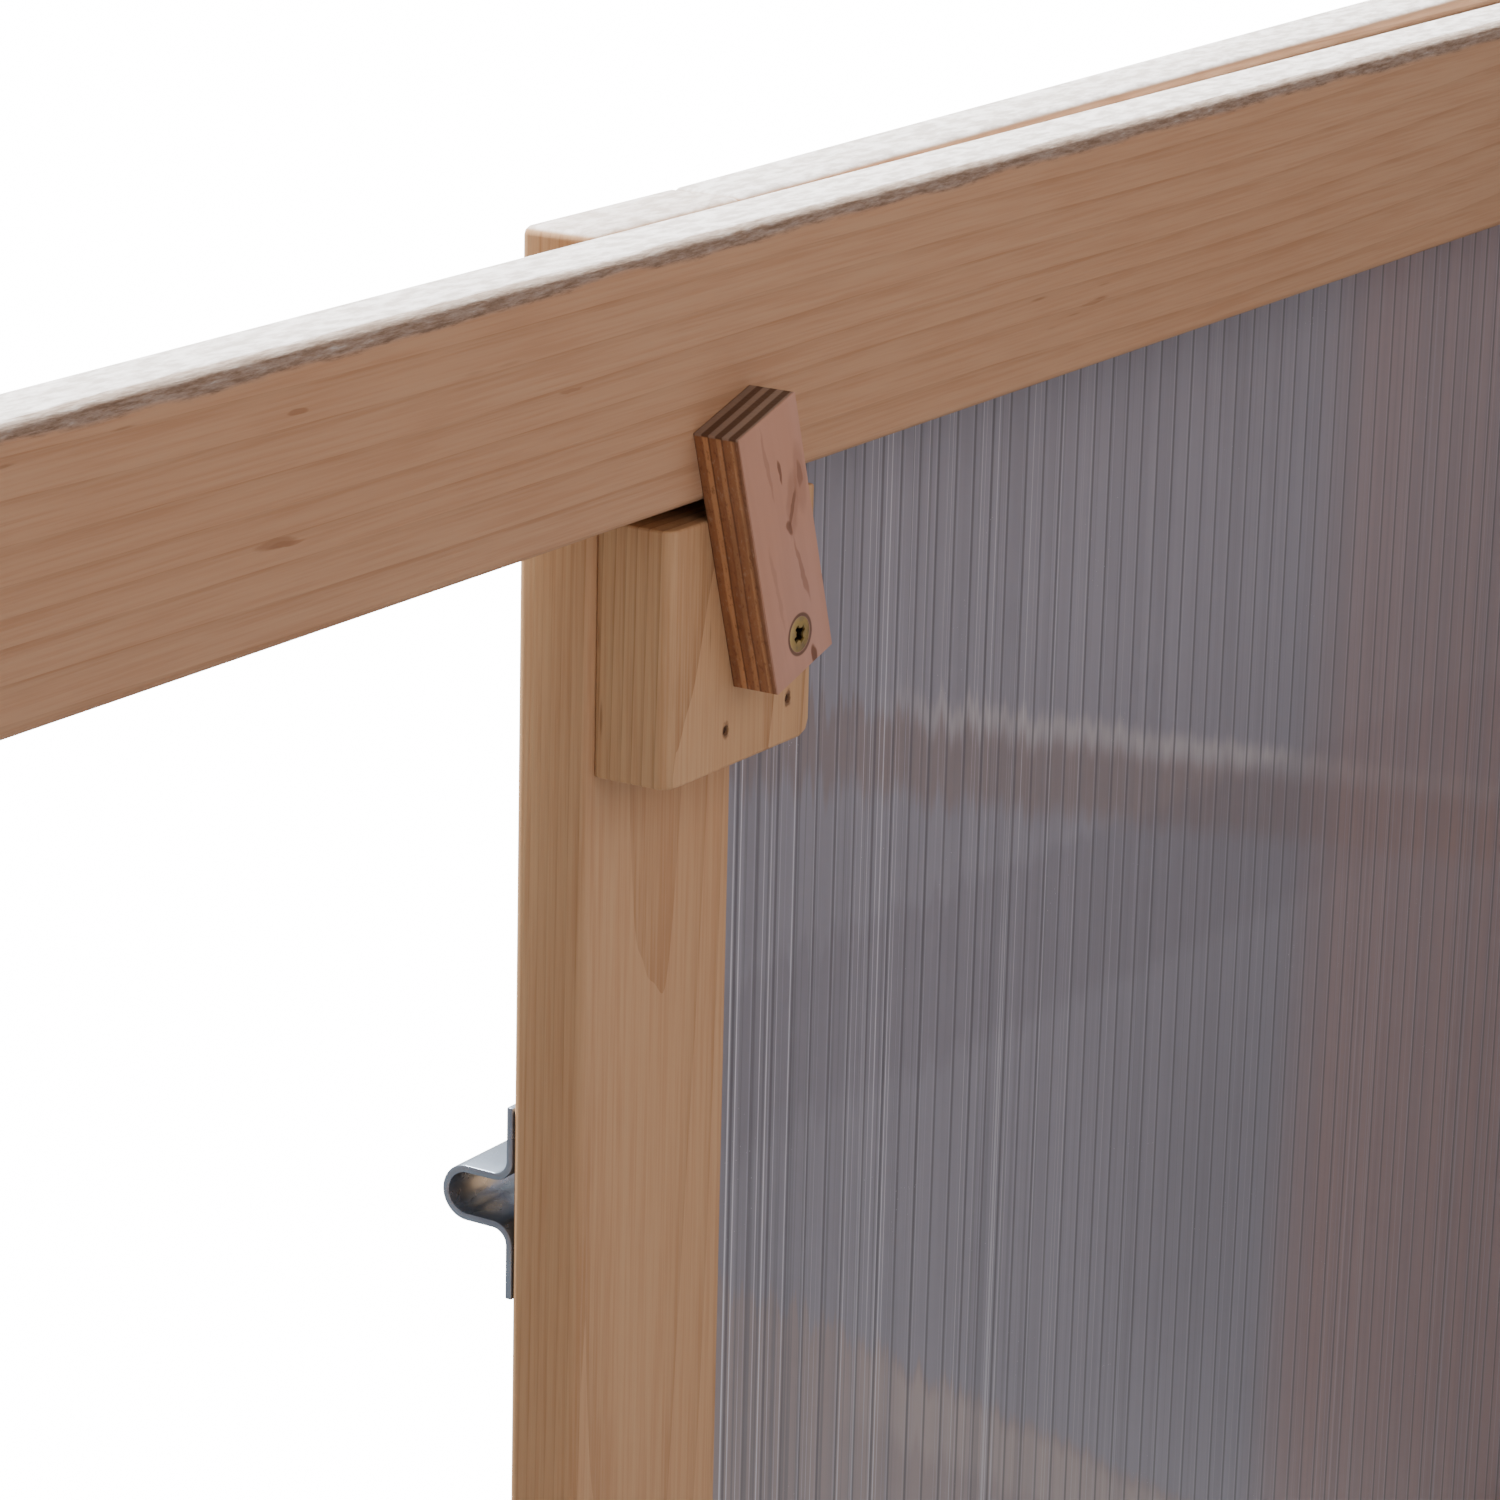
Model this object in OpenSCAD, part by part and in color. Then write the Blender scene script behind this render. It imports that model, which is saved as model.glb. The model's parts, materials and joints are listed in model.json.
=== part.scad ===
// Low wooden cold frame: a box of pine laths and twin-wall sheet with two lids, a pair of
// front doors, a wooden turn button on the locked leaf and a barrel bolt on the open door.
// Units are millimetres. +Z is up, the doors face -Y, and the origin is the middle of the
// underside of the front sill.

/* [Frame] */
// overall width of the box
frame_w = 1100; // [900:10:1320]
// depth from the front face of the lintel to the back face
frame_d = 525; // [420:5:630]
// height of the front
front_h = 450; // [370:5:540]
// how much higher the back is than the front
back_rise = 80; // [60:5:96]
// side of the square corner posts
post_w = 30; // [25:1:36]

/* [Laths] */
// width of every lath
lath_w = 45; // [38:1:54]
// thickness of every lath
lath_t = 15; // [12:0.5:18]

/* [Sheets] */
// thickness of the twin-wall sheet
sheet_t = 4; // [3.4:0.1:4.8]
// depth of the groove that holds a sheet in a door or lid
groove_d = 8; // [6.5:0.5:9.5]

/* [Doors] */
// gap between the two meeting stiles
door_gap = 2; // [1.7:0.1:2.4]
// height of the doors' lower edge above the ground
door_lift = 10; // [8:0.5:12]
// how much the hinge end of the locked leaf's top rail stands above the other end
leaf_rise = 5; // [0:0.5:6]
// angle the open door stands at, from closed
door_open = 100; // [84:1:120]

/* [Turn button] */
// width of the button
button_w = 18; // [15:0.5:21.5]
// length of the button
button_l = 49; // [41:0.5:58]
// thickness of the button
button_t = 9; // [7.5:0.5:10.5]
// distance of the screw from the button's lower end
button_tail = 7; // [6:0.5:8.4]
// lean of the button from upright
button_lean = 17; // [14:0.5:20]
// distance of the screw below the top of the leaf
screw_drop = 70; // [66:0.5:74]
// distance of the screw from the leaf's free edge
screw_in = 28.4; // [24:0.2:33]
// radius of the screw's shank
screw_r = 1.75; // [1.5:0.05:2]
// radius of the screw's head
head_r = 3.1; // [2.6:0.1:3.7]
// gap between the lintel and the block below it
block_drop = 3.4; // [2.8:0.1:4]

/* [Bolt] */
// width of the keeper strap
keeper_w = 20; // [16:0.5:24]
// height of the keeper strap
keeper_h = 36; // [32:0.5:43]
// how far the keeper strap stands off the stile
keeper_d = 15; // [14:0.5:18]
// outer radius of the keeper's loop
keeper_r = 5.2; // [4.8:0.1:6.2]
// distance of the bolt below the top of the doors
bolt_drop = 174; // [145:1:208]
// thickness of the strap and plates
strap_t = 1.4; // [1.2:0.1:1.7]
// radius of the bolt
rod_r = 3; // [2.5:0.1:3.2]
// distance of the bolt's axis from the door's face
rod_off = 8; // [7:0.1:9]
// length of the bolt
rod_l = 70; // [66:1:84]
// travel of the bolt
rod_travel = 22; // [19:1:25]

/* [Hinges] */
// length of a hinge
hinge_l = 50; // [42:1:60]
// width of one hinge plate
plate_w = 13; // [11:0.5:14]
// radius of the knuckles
barrel_r = 3; // [2.6:0.1:3.6]
// radius of the pin
pin_r = 1.5; // [1.25:0.05:1.8]

/* [Lids] */
// clear height between a closed lid and the frame
lid_gap = 0.5; // [0.4:0.1:0.6]
// length of the stiles behind the hinge line
heel = 20; // [17:1:24]

/* [Hidden] */
$fn = 48;

wood = [0.85, 0.68, 0.45];
ply = [0.80, 0.62, 0.42];
clear = [0.78, 0.78, 0.83];
zinc = [0.80, 0.81, 0.82];
yellow = [0.85, 0.70, 0.35];

// front and back planes of the box
front_y = -lath_t / 2;
back_y = front_y + frame_d;
half_w = frame_w / 2;
back_h = front_h + back_rise;
// slope of the lids and of the side rails
slope = atan(back_rise / frame_d);
fall = back_rise / frame_d;
// clearance of a sheet in its groove, of a pin in its bore and of a knuckle
slack = 0.1;
run = 0.05;
air = 0.3;
// distance of a hinge pin from the wood
pin_off = barrel_r + air;
// a plate's neck starts this far above or below its pin, clear of a closed lid's edge
neck = 1;
// sheets stop this far from the edge of the box
sheet_in = 5;

// doors
leaf_w = half_w - door_gap / 2;
leaf_h = front_h - door_lift;
leaf_y = front_y - lath_t;
hinge_up = front_h - lath_w - hinge_l;
hinge_low = door_lift + lath_w;
bolt_z = front_h - bolt_drop;
rod_y = leaf_y - rod_off;
bend_r = 2.8;

// bolt
tip_x = 4;
guide_w = 10;
guide_gap = 2;
plate_l = rod_l - 8;
plate_h = 24;
knob_r = 3.5;
knob_l = 12;
knob_x = tip_x + guide_gap + guide_w + rod_travel + knob_r + 2;

// lids
axis_y = back_y + pin_off;
axis_z = back_h + pin_off * fall + lid_gap;
lid_l = (axis_y - front_y - 3) / cos(slope);
lid_open = 90 + slope + asin(pin_off / heel) - 0.3;
lid_hinge_x = half_w / 4;

// ---- shared shapes ----

module box(x, y, z, w, d, h) {
  translate([x, y, z]) cube([w, d, h]);
}

// a sloping board between two depths, cut plumb at both ends
module sloping(x, w, y0, y1, top_in, low) {
  z0 = front_h + (y0 - front_y) * fall - top_in;
  z1 = front_h + (y1 - front_y) * fall - top_in;
  translate([x, 0, 0])
    rotate([90, 0, 90])
      linear_extrude(w)
        polygon([[y0, low >= 0 ? low : z0 + low], [y1, low >= 0 ? low : z1 + low],
          [y1, z1], [y0, z0]]);
}

// one half of a hinge: the pin lies on X, centred, the plate hangs down at y = -pin_off
module hinge_fixed() {
  knuckle = hinge_l / 3;
  for (s = [-1, 1])
    translate([s * (hinge_l - knuckle) / 2, 0, 0]) {
      rotate([0, 90, 0]) cylinder(h = knuckle, r = barrel_r, center = true);
      box(-knuckle / 2, -pin_off, -pin_off - neck, knuckle, strap_t, pin_off);
    }
  rotate([0, 90, 0]) cylinder(h = hinge_l, r = pin_r, center = true);
  box(-hinge_l / 2, -pin_off, -plate_w, hinge_l, strap_t, plate_w - pin_off);
}

// the other half: its plate stands up at y = -pin_off
module hinge_moving() {
  knuckle = hinge_l / 3 - 2 * air;
  difference() {
    union() {
      rotate([0, 90, 0]) cylinder(h = knuckle, r = barrel_r, center = true);
      box(-knuckle / 2, -pin_off, neck, knuckle, strap_t, pin_off);
      box(-hinge_l / 2, -pin_off, pin_off, hinge_l, strap_t, plate_w - pin_off);
    }
    rotate([0, 90, 0]) cylinder(h = hinge_l, r = pin_r + run, center = true);
  }
}

// turns a hinge lying on X into one standing at the box's side, plates in the side face
module stand(side, z) {
  translate([side * (half_w + pin_off), front_y, z + hinge_l / 2])
    mirror([side < 0 ? 1 : 0, 0, 0])
      rotate([90, 90, 0])
        children();
}

// puts a closed-door shape where the open door stands
module opened() {
  translate([half_w + pin_off, front_y, 0])
    rotate([0, 0, door_open])
      translate([-half_w - pin_off, -front_y, 0])
        children();
}

// puts a lid shape where the open lid stands: local -Y runs to the front, +Z is its top
module lifted() {
  translate([0, axis_y, axis_z])
    rotate([slope - lid_open, 0, 0])
      children();
}

// stile of a door, from its lower end, grooved on the side g (-1 or 1)
module door_stile(x, h, g) {
  difference() {
    box(x, leaf_y, door_lift, lath_w, lath_t, h);
    box(g > 0 ? x + lath_w - groove_d : x - 1, leaf_y + lath_t / 2 - sheet_t / 2 - slack,
      door_lift + lath_w - groove_d, groove_d + 1, sheet_t + 2 * slack,
      leaf_h - 2 * lath_w + 2 * groove_d);
  }
}

// rail of a door between its stiles; the top edge rises by rise to the low-x end
module door_rail(x, z, rise, g) {
  w = leaf_w - 2 * lath_w;
  difference() {
    translate([x, leaf_y + lath_t, z])
      rotate([90, 0, 0])
        linear_extrude(lath_t)
          polygon([[0, rise], [w, 0], [w, lath_w], [0, lath_w + rise]]);
    box(x - 1, leaf_y + lath_t / 2 - sheet_t / 2 - slack,
      g > 0 ? z + lath_w - groove_d : z - 1,
      w + 2, sheet_t + 2 * slack, groove_d + 1 + (g < 0 ? rise : 0));
  }
}

// sheet of a door
module door_pane(x) {
  box(x + lath_w - groove_d + slack, leaf_y + lath_t / 2 - sheet_t / 2,
    door_lift + lath_w - groove_d + slack,
    leaf_w - 2 * lath_w + 2 * groove_d - 2 * slack, sheet_t,
    leaf_h - 2 * lath_w + 2 * groove_d - 2 * slack);
}

// stile of a lid in the lid's own frame, grooved on the side g
module lid_stile(x, g) {
  difference() {
    box(x, -lid_l, 0, lath_w, lid_l + heel, lath_t);
    box(g > 0 ? x + lath_w - groove_d : x - 1, -lid_l + lath_w - groove_d,
      lath_t / 2 - sheet_t / 2 - slack, groove_d + 1,
      lid_l - 2 * lath_w - pin_off + 2 * groove_d, sheet_t + 2 * slack);
  }
}

// rail of a lid; g tells which long edge is grooved
module lid_rail(x, y, g) {
  difference() {
    box(x, y, 0, leaf_w - 2 * lath_w, lath_w, lath_t);
    box(x - 1, g > 0 ? y + lath_w - groove_d : y - 1, lath_t / 2 - sheet_t / 2 - slack,
      leaf_w - 2 * lath_w + 2, groove_d + 1, sheet_t + 2 * slack);
  }
}

// sheet of a lid
module lid_pane(x) {
  box(x + lath_w - groove_d + slack, -lid_l + lath_w - groove_d + slack,
    lath_t / 2 - sheet_t / 2, leaf_w - 2 * lath_w + 2 * groove_d - 2 * slack,
    lid_l - 2 * lath_w - pin_off + 2 * groove_d - 2 * slack, sheet_t);
}

// a hinge half on the back of a lid
module lid_hinge_fixed(x) {
  translate([x, axis_y, axis_z]) hinge_fixed();
}

module lid_hinge_moving(x) {
  lifted() translate([x, 0, 0]) hinge_moving();
}

// ---- box ----

module post_front_left() {
  color(wood) box(-half_w, front_y, 0, post_w, post_w, front_h);
}

module post_front_right() {
  color(wood) box(half_w - post_w, front_y, 0, post_w, post_w, front_h);
}

module post_back_left() {
  color(wood)
    box(-half_w, back_y - post_w, 0, post_w, post_w, back_h - post_w * fall);
}

module post_back_right() {
  color(wood)
    box(half_w - post_w, back_y - post_w, 0, post_w, post_w, back_h - post_w * fall);
}

// the fixed top rail over the doors
module lintel() {
  color(wood)
    box(-half_w + post_w, front_y, front_h - lath_w, frame_w - 2 * post_w, lath_t, lath_w);
}

module sill() {
  color(wood) box(-half_w + post_w, front_y, 0, frame_w - 2 * post_w, lath_t, lath_w);
}

module back_rail_top() {
  color(wood)
    box(-half_w + post_w, back_y - lath_t, back_h - lath_t * fall - lath_w,
      frame_w - 2 * post_w, lath_t, lath_w);
}

module back_rail_bottom() {
  color(wood)
    box(-half_w + post_w, back_y - lath_t, 0, frame_w - 2 * post_w, lath_t, lath_w);
}

module side_rail_top_left() {
  color(wood)
    sloping(-half_w, lath_t, front_y + post_w, back_y - post_w, 0, -lath_w);
}

module side_rail_top_right() {
  color(wood)
    sloping(half_w - lath_t, lath_t, front_y + post_w, back_y - post_w, 0, -lath_w);
}

module side_rail_bottom_left() {
  color(wood)
    box(-half_w, front_y + post_w, 0, lath_t, frame_d - 2 * post_w, lath_w);
}

module side_rail_bottom_right() {
  color(wood)
    box(half_w - lath_t, front_y + post_w, 0, lath_t, frame_d - 2 * post_w, lath_w);
}

module side_sheet_left() {
  color(clear)
    sloping(-half_w + lath_t, sheet_t, front_y + post_w, back_y - post_w, sheet_in,
      sheet_in);
}

module side_sheet_right() {
  color(clear)
    sloping(half_w - lath_t - sheet_t, sheet_t, front_y + post_w, back_y - post_w,
      sheet_in, sheet_in);
}

module back_sheet() {
  color(clear)
    box(-half_w + post_w, back_y - lath_t - sheet_t, sheet_in, frame_w - 2 * post_w,
      sheet_t, back_h - lath_t * fall - 2 * sheet_in);
}

// ---- locked leaf ----

module leaf_stile_meeting() {
  color(wood) door_stile(-door_gap / 2 - lath_w, leaf_h, -1);
}

module leaf_stile_hinge() {
  color(wood) door_stile(-half_w, leaf_h + leaf_rise, 1);
}

module leaf_rail_top() {
  color(wood) door_rail(-half_w + lath_w, front_h - lath_w, leaf_rise, -1);
}

module leaf_rail_bottom() {
  color(wood) door_rail(-half_w + lath_w, door_lift, 0, 1);
}

module leaf_sheet() {
  color(clear) door_pane(-half_w);
}

// block on the inner face of the meeting stile, level with the lintel's inner face
module button_block() {
  top = front_h - lath_w - block_drop;
  color(wood)
    difference() {
      box(-door_gap / 2 - lath_w - 1.8, front_y, top - lath_w, lath_w, lath_t, lath_w);
      translate([-door_gap / 2 - screw_in, front_y + lath_t + 1, front_h - screw_drop])
        rotate([90, 0, 0]) cylinder(h = lath_t - 2, r = screw_r + run);
    }
}

// countersunk screw, head flush with the button's face
module button_screw() {
  color(yellow)
    translate([-door_gap / 2 - screw_in, front_y + lath_t + button_t, front_h - screw_drop])
      rotate([90, 0, 0]) {
        cylinder(h = head_r - screw_r, r1 = head_r, r2 = screw_r);
        cylinder(h = button_t + lath_t - 5, r = screw_r);
      }
}

// the button turns on the screw and laps the lintel
module turn_button() {
  color(ply)
    translate([-door_gap / 2 - screw_in, front_y + lath_t, front_h - screw_drop])
      difference() {
        rotate([0, button_lean, 0])
          box(-button_w / 2, 0, -button_tail, button_w, button_t, button_l);
        translate([0, button_t + 1, 0]) rotate([90, 0, 0])
          cylinder(h = button_t + 2, r = screw_r + run);
        translate([0, button_t, 0]) rotate([90, 0, 0])
          cylinder(h = head_r - screw_r, r1 = head_r + run, r2 = screw_r + run);
        translate([0, button_t + 1, 0]) rotate([90, 0, 0])
          cylinder(h = 1, r = head_r + run);
      }
}

// a bent band of the keeper: a ring about (u, v), cut to the quarter or half from (u0, v0)
module keeper_bend(u, v, r, u0, v0, du, dv) {
  intersection() {
    difference() {
      translate([0, u, v]) rotate([0, 90, 0]) cylinder(h = keeper_w, r = r);
      translate([-1, u, v]) rotate([0, 90, 0]) cylinder(h = keeper_w + 2, r = r - strap_t);
    }
    box(0, u0, v0, keeper_w, du, dv);
  }
}

// half of the keeper above the bolt's axis; u runs out from the stile, v up
module keeper_half() {
  u_tip = keeper_d - keeper_r;
  u_bend = strap_t + bend_r;
  v_bend = keeper_r + bend_r;
  box(0, 0, v_bend, keeper_w, strap_t, keeper_h / 2 - v_bend);
  keeper_bend(u_bend, v_bend, bend_r + strap_t, 0, keeper_r - strap_t, u_bend,
    bend_r + strap_t);
  box(0, u_bend, keeper_r - strap_t, keeper_w, u_tip - u_bend, strap_t);
  keeper_bend(u_tip, 0, keeper_r, u_tip, 0, keeper_r, keeper_r);
}

// strap bent into a loop on the outer face of the meeting stile
module keeper() {
  color(zinc)
    translate([-door_gap / 2 - 0.5 - keeper_w, leaf_y, bolt_z])
      mirror([0, 1, 0]) {
        keeper_half();
        mirror([0, 0, 1]) keeper_half();
      }
}

// ---- open door ----

module door_stile_meeting() {
  color(wood) opened() door_stile(door_gap / 2, leaf_h, 1);
}

module door_stile_hinge() {
  color(wood) opened() door_stile(half_w - lath_w, leaf_h, -1);
}

module door_rail_top() {
  color(wood) opened() door_rail(door_gap / 2 + lath_w, front_h - lath_w, 0, -1);
}

module door_rail_bottom() {
  color(wood) opened() door_rail(door_gap / 2 + lath_w, door_lift, 0, 1);
}

module door_sheet() {
  color(clear) opened() door_pane(door_gap / 2);
}

// plate with two guides that the bolt runs in
module bolt_plate() {
  color(zinc)
    opened()
      difference() {
        union() {
          box(tip_x, leaf_y - strap_t, bolt_z - plate_h / 2, plate_l, strap_t, plate_h);
          for (x = [tip_x + guide_gap, tip_x + plate_l - guide_gap - guide_w]) {
            box(x, rod_y, bolt_z - rod_r - strap_t, guide_w, leaf_y - rod_y,
              2 * rod_r + 2 * strap_t);
            translate([x, rod_y, bolt_z])
              rotate([0, 90, 0]) cylinder(h = guide_w, r = rod_r + strap_t);
          }
        }
        translate([tip_x - 1, rod_y, bolt_z])
          rotate([0, 90, 0]) cylinder(h = plate_l + 2, r = rod_r + run);
      }
}

// the sliding bolt with its knob, drawn back
module bolt_rod() {
  color(zinc)
    opened() {
      translate([tip_x, rod_y, bolt_z]) rotate([0, 90, 0]) cylinder(h = rod_l, r = rod_r);
      translate([knob_x, rod_y, bolt_z]) rotate([90, 0, 0]) cylinder(h = knob_l, r = knob_r - 0.5);
    }
}

// ---- lids ----

module lid_left_stile_inner() {
  color(wood) lifted() lid_stile(-door_gap / 2 - lath_w, -1);
}

module lid_left_stile_outer() {
  color(wood) lifted() lid_stile(-half_w, 1);
}

module lid_left_rail_front() {
  color(wood) lifted() lid_rail(-half_w + lath_w, -lid_l, 1);
}

module lid_left_rail_back() {
  color(wood) lifted() lid_rail(-half_w + lath_w, -pin_off - lath_w, -1);
}

module lid_left_sheet() {
  color(clear) lifted() lid_pane(-half_w);
}

module lid_right_stile_inner() {
  color(wood) lifted() lid_stile(door_gap / 2, 1);
}

module lid_right_stile_outer() {
  color(wood) lifted() lid_stile(half_w - lath_w, -1);
}

module lid_right_rail_front() {
  color(wood) lifted() lid_rail(door_gap / 2 + lath_w, -lid_l, 1);
}

module lid_right_rail_back() {
  color(wood) lifted() lid_rail(door_gap / 2 + lath_w, -pin_off - lath_w, -1);
}

module lid_right_sheet() {
  color(clear) lifted() lid_pane(door_gap / 2);
}

// ---- hinges ----

module leaf_hinge_upper_fixed() {
  color(zinc) stand(-1, hinge_up) hinge_fixed();
}

module leaf_hinge_upper_moving() {
  color(zinc) stand(-1, hinge_up) hinge_moving();
}

module leaf_hinge_lower_fixed() {
  color(zinc) stand(-1, hinge_low) hinge_fixed();
}

module leaf_hinge_lower_moving() {
  color(zinc) stand(-1, hinge_low) hinge_moving();
}

module door_hinge_upper_fixed() {
  color(zinc) stand(1, hinge_up) hinge_fixed();
}

module door_hinge_upper_moving() {
  color(zinc) opened() stand(1, hinge_up) hinge_moving();
}

module door_hinge_lower_fixed() {
  color(zinc) stand(1, hinge_low) hinge_fixed();
}

module door_hinge_lower_moving() {
  color(zinc) opened() stand(1, hinge_low) hinge_moving();
}

module lid_left_hinge_a_fixed() {
  color(zinc) lid_hinge_fixed(-half_w + lid_hinge_x);
}

module lid_left_hinge_a_moving() {
  color(zinc) lid_hinge_moving(-half_w + lid_hinge_x);
}

module lid_left_hinge_b_fixed() {
  color(zinc) lid_hinge_fixed(-lid_hinge_x);
}

module lid_left_hinge_b_moving() {
  color(zinc) lid_hinge_moving(-lid_hinge_x);
}

module lid_right_hinge_a_fixed() {
  color(zinc) lid_hinge_fixed(lid_hinge_x);
}

module lid_right_hinge_a_moving() {
  color(zinc) lid_hinge_moving(lid_hinge_x);
}

module lid_right_hinge_b_fixed() {
  color(zinc) lid_hinge_fixed(half_w - lid_hinge_x);
}

module lid_right_hinge_b_moving() {
  color(zinc) lid_hinge_moving(half_w - lid_hinge_x);
}

post_front_left();
post_front_right();
post_back_left();
post_back_right();
lintel();
sill();
back_rail_top();
back_rail_bottom();
side_rail_top_left();
side_rail_top_right();
side_rail_bottom_left();
side_rail_bottom_right();
side_sheet_left();
side_sheet_right();
back_sheet();
leaf_stile_meeting();
leaf_stile_hinge();
leaf_rail_top();
leaf_rail_bottom();
leaf_sheet();
button_block();
button_screw();
turn_button();
keeper();
door_stile_meeting();
door_stile_hinge();
door_rail_top();
door_rail_bottom();
door_sheet();
bolt_plate();
bolt_rod();
lid_left_stile_inner();
lid_left_stile_outer();
lid_left_rail_front();
lid_left_rail_back();
lid_left_sheet();
lid_right_stile_inner();
lid_right_stile_outer();
lid_right_rail_front();
lid_right_rail_back();
lid_right_sheet();
leaf_hinge_upper_fixed();
leaf_hinge_upper_moving();
leaf_hinge_lower_fixed();
leaf_hinge_lower_moving();
door_hinge_upper_fixed();
door_hinge_upper_moving();
door_hinge_lower_fixed();
door_hinge_lower_moving();
lid_left_hinge_a_fixed();
lid_left_hinge_a_moving();
lid_left_hinge_b_fixed();
lid_left_hinge_b_moving();
lid_right_hinge_a_fixed();
lid_right_hinge_a_moving();
lid_right_hinge_b_fixed();
lid_right_hinge_b_moving();
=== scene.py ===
"""Looks of a low wooden cold frame: eased pine laths, twin-wall sheets, a plywood turn
button on a countersunk screw, a bolt with its keeper strap, hinges, floor, light, camera."""

import json
import math
import random

import bpy
from mathutils import Euler, Matrix, Vector


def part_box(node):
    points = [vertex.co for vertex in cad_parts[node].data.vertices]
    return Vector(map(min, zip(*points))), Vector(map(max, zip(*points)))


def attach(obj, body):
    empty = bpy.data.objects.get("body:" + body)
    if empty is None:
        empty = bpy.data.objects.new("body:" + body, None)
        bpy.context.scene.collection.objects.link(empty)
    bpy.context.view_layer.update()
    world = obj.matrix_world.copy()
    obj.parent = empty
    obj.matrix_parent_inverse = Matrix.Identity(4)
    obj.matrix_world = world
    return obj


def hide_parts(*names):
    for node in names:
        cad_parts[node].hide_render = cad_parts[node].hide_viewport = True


bl_info = {
    "name": "Cold frame",
    "version": (1, 0, 0),
    "blender": (4, 5, 0),
    "location": "3D View > Sidebar > Cold frame",
    "description": "Models the wood, sheets and fittings of a cold frame on its solids",
    "category": "Object",
}

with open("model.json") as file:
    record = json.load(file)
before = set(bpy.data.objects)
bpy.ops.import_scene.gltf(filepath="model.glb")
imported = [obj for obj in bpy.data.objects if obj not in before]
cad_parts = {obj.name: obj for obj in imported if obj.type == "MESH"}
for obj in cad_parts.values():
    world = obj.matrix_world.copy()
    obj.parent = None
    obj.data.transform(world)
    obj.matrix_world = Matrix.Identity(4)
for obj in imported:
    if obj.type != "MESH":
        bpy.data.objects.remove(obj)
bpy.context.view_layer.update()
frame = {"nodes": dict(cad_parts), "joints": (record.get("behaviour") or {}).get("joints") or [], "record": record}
BODIES = frame["record"]["behaviour"]["bodies"]
BODY_OF = {node: body for body, nodes in BODIES.items() for node in nodes}
SLOT_OF = {s["node"]: s["material_slot"] for s in frame["record"]["subparts"]}
JOINTS = {j["name"]: j for j in frame["joints"]}

MM = 0.001
X_AXIS = Vector((1, 0, 0))
Y_AXIS = Vector((0, 1, 0))
Z_AXIS = Vector((0, 0, 1))
FRONT_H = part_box("lintel")[1].z
INNER_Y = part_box("lintel")[1].y
FRAME_DEPTH = 525
BACK_RISE = 80
RAIL_RISE = Vector((0, FRAME_DEPTH, BACK_RISE)).normalized()
DOOR_OPEN = math.radians(100)
BUTTON_LEAN = math.radians(17)
BUTTON_TIP = 42 * MM
DOOR_SHAVING = 0.12 * MM
BEVEL_ANGLE = 35
SMOOTH_ANGLE = math.radians(32)
CRISP_ANGLE = math.radians(30)
SAME_PLACE = 1e-5
SCREW_LEVEL = 1.4 * MM
SCREW_MARGIN = 4.4 * MM
FLOOR_SIZE = 400
FLOOR_GLOW = 11.0
SUN_TURN = (math.radians(31), math.radians(-8), 0)
SUN_WIDTH = math.radians(12)
CAMERA_PLACE = Vector((0.691715, 0.458504, FRONT_H + 0.158183))
LID_OPEN = math.radians(JOINTS["lid_left_swing"]["range_deg"][1])
LID_SLOPE = math.atan2(RAIL_RISE.z, RAIL_RISE.y)

SHEETS = [n for n, s in SLOT_OF.items() if s == "twinwall"]
LATHS = [n for n, s in SLOT_OF.items() if s == "pine" and n != "button_block"]
PITH = {"lintel": (84, 0.055), "leaf_stile_meeting": (8, 0.085),
        "leaf_rail_top": (80, 0.05)}
TIGHT = {"lintel": 1.35, "leaf_stile_meeting": 0.58}
BOLD = {"leaf_stile_meeting": 0.80, "lintel": 0.72}
GAIN = {"lintel": 0.91}
# Painted highlight: how far each lath's up-facing faces are whitened, standing in for tops lit from above.
TOP_SHEEN = {"lintel": 0.85, "leaf_rail_top": 0.85, "leaf_stile_meeting": 0.70}
FLECKS = {"lintel": (((440.4, 101.8), (440.1, 96.4), 0.55, 0.60),
                     ((421.5, 110.0), (421.0, 99.0), 0.95, 0.50),
                     ((421.0, 107.0), (420.6, 97.0), 0.50, 0.50),
                     ((431.0, 31.0), (430.8, 24.0), 0.35, 0.45),
                     ((418.0, -152.0), (417.6, -141.0), 0.5, 0.40))}
STILE_GOLD = 0.35
# Painted see-through light and shade on the leaf's sheet: pale and brown bands of what lies behind it. Each band:
# x0, z0, slope, low, high, colour, begin, strength.
SEEN_THROUGH_BANDS = {"leaf_sheet": (
    (-0.133, 0.334, 0.305, -0.014, 0.001, (0.215, 0.160, 0.145), 0.0, 0.68),
    (-0.133, 0.334, 0.305, 0.001, 0.0055, (0.42, 0.385, 0.38), -0.120, 0.70),
    (-0.069, 0.237, 0.610, -0.050, 0.002, (0.295, 0.235, 0.212), 0.0, 0.75),
    (-0.069, 0.237, 0.610, -0.014, 0.000, (0.40, 0.345, 0.32), -0.110, 0.50),
    (-0.069, 0.300, 0.050, -0.030, 0.004, (0.16, 0.145, 0.165), 0.0, 0.35),
)}
BRADS = ((-20.7, 363.4), (-40.5, 364.6), (-46.4, 370.5))
HINGES = [n for n in SLOT_OF if "_hinge_" in n]


# ---------------------------------------------------------------- settings


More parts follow.
